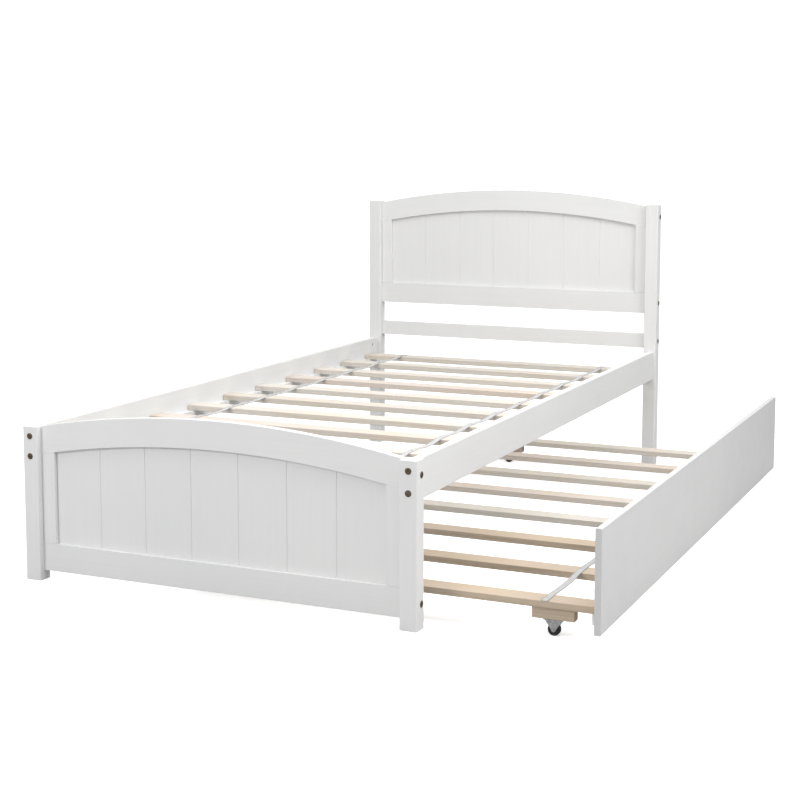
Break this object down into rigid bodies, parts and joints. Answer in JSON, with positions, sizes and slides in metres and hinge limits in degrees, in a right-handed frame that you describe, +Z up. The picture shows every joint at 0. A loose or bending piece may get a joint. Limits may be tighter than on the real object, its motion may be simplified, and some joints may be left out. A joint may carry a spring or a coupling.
{
  "type": "trundle bed",
  "caption": "Painted wooden single bed with an arched, panelled head and foot, slatted base, and a slatted trundle on casters that rolls out from under one side.",
  "frame": {"origin": "on the floor, at the middle of the whole footprint (bolt heads included) with the trundle pulled out 404 mm as stored", "axes": "+X across the bed, the way the trundle rolls out; +Y along the bed from foot to head; +Z up"},
  "size_m": [1.4646, 2.0432, 0.9179],
  "materials": {
    "white_paint": "satin white paint over wood",
    "pine": "unfinished planed pine",
    "webbing": "thin woven polyester tape",
    "bronze_bolt": "antique bronze plating",
    "zinc_steel": "zinc plating",
    "beech": "unfinished turned beech",
    "caster_steel": "dull zinc-plated pressed sheet",
    "wheel_plastic": "moulded black nylon"
  },
  "bodies": {
    "bed": {"foot_post_left": "white_paint", "foot_post_right": "white_paint", "foot_top_rail": "white_paint", "foot_bottom_rail": "white_paint", "foot_stile_left": "white_paint", "foot_stile_right": "white_paint", "foot_panel": "white_paint", "head_post_left": "white_paint", "head_post_right": "white_paint", "head_top_rail": "white_paint", "head_panel_rail": "white_paint", "head_lower_rail": "white_paint", "head_stile_left": "white_paint", "head_stile_right": "white_paint", "head_panel": "white_paint", "side_rail_left": "white_paint", "side_rail_right": "white_paint", "ledger_left": "white_paint", "ledger_right": "white_paint", "slat_1": "pine", "slat_2": "pine", "slat_3": "pine", "slat_4": "pine", "slat_5": "pine", "slat_6": "pine", "slat_7": "pine", "slat_8": "pine", "slat_9": "pine", "slat_10": "pine", "slat_strap_left": "webbing", "slat_strap_right": "webbing", "side_rail_bolts": "bronze_bolt", "end_frame_bolts": "bronze_bolt", "barrel_nuts": "zinc_steel", "frame_dowels": "beech", "bed_screws": "zinc_steel"},
    "trundle": {"trundle_front_panel": "white_paint", "trundle_back_rail": "white_paint", "trundle_ledger_back": "white_paint", "trundle_ledger_front": "white_paint", "trundle_slat_1": "pine", "trundle_slat_2": "pine", "trundle_slat_3": "pine", "trundle_slat_4": "pine", "trundle_slat_5": "pine", "trundle_slat_6": "pine", "trundle_slat_7": "pine", "trundle_slat_8": "pine", "trundle_strap_back": "webbing", "trundle_strap_front": "webbing", "trundle_screws": "zinc_steel", "caster_blocks": "pine", "caster_forks": "caster_steel", "caster_axles": "caster_steel"},
    "wheel_back_foot": {"caster_wheel_back_foot": "wheel_plastic"},
    "wheel_back_head": {"caster_wheel_back_head": "wheel_plastic"},
    "wheel_front_foot": {"caster_wheel_front_foot": "wheel_plastic"},
    "wheel_front_head": {"caster_wheel_front_head": "wheel_plastic"}
  },
  "joints": [
    {"name": "trundle_slide", "type": "slide", "parent": "bed", "child": "trundle", "axis": [1, 0, 0], "range_m": [-0.404, 0.62]},
    {"name": "wheel_back_foot_spin", "type": "hinge", "parent": "trundle", "child": "wheel_back_foot", "pos_m": [-0.1357, -0.91, 0.0145], "axis": [0, 1, 0], "continuous": true},
    {"name": "wheel_back_head_spin", "type": "hinge", "parent": "trundle", "child": "wheel_back_head", "pos_m": [-0.1357, 0.833, 0.0145], "axis": [0, 1, 0], "continuous": true},
    {"name": "wheel_front_foot_spin", "type": "hinge", "parent": "trundle", "child": "wheel_front_foot", "pos_m": [0.6113, -0.91, 0.0145], "axis": [0, 1, 0], "continuous": true},
    {"name": "wheel_front_head_spin", "type": "hinge", "parent": "trundle", "child": "wheel_front_head", "pos_m": [0.6113, 0.833, 0.0145], "axis": [0, 1, 0], "continuous": true}
  ],
  "couplings": [
    {"joint": "wheel_back_foot_spin", "follows": "trundle_slide", "rad_per_m": 68.966},
    {"joint": "wheel_back_head_spin", "follows": "trundle_slide", "rad_per_m": 68.966},
    {"joint": "wheel_front_foot_spin", "follows": "trundle_slide", "rad_per_m": 68.966},
    {"joint": "wheel_front_head_spin", "follows": "trundle_slide", "rad_per_m": 68.966}
  ]
}
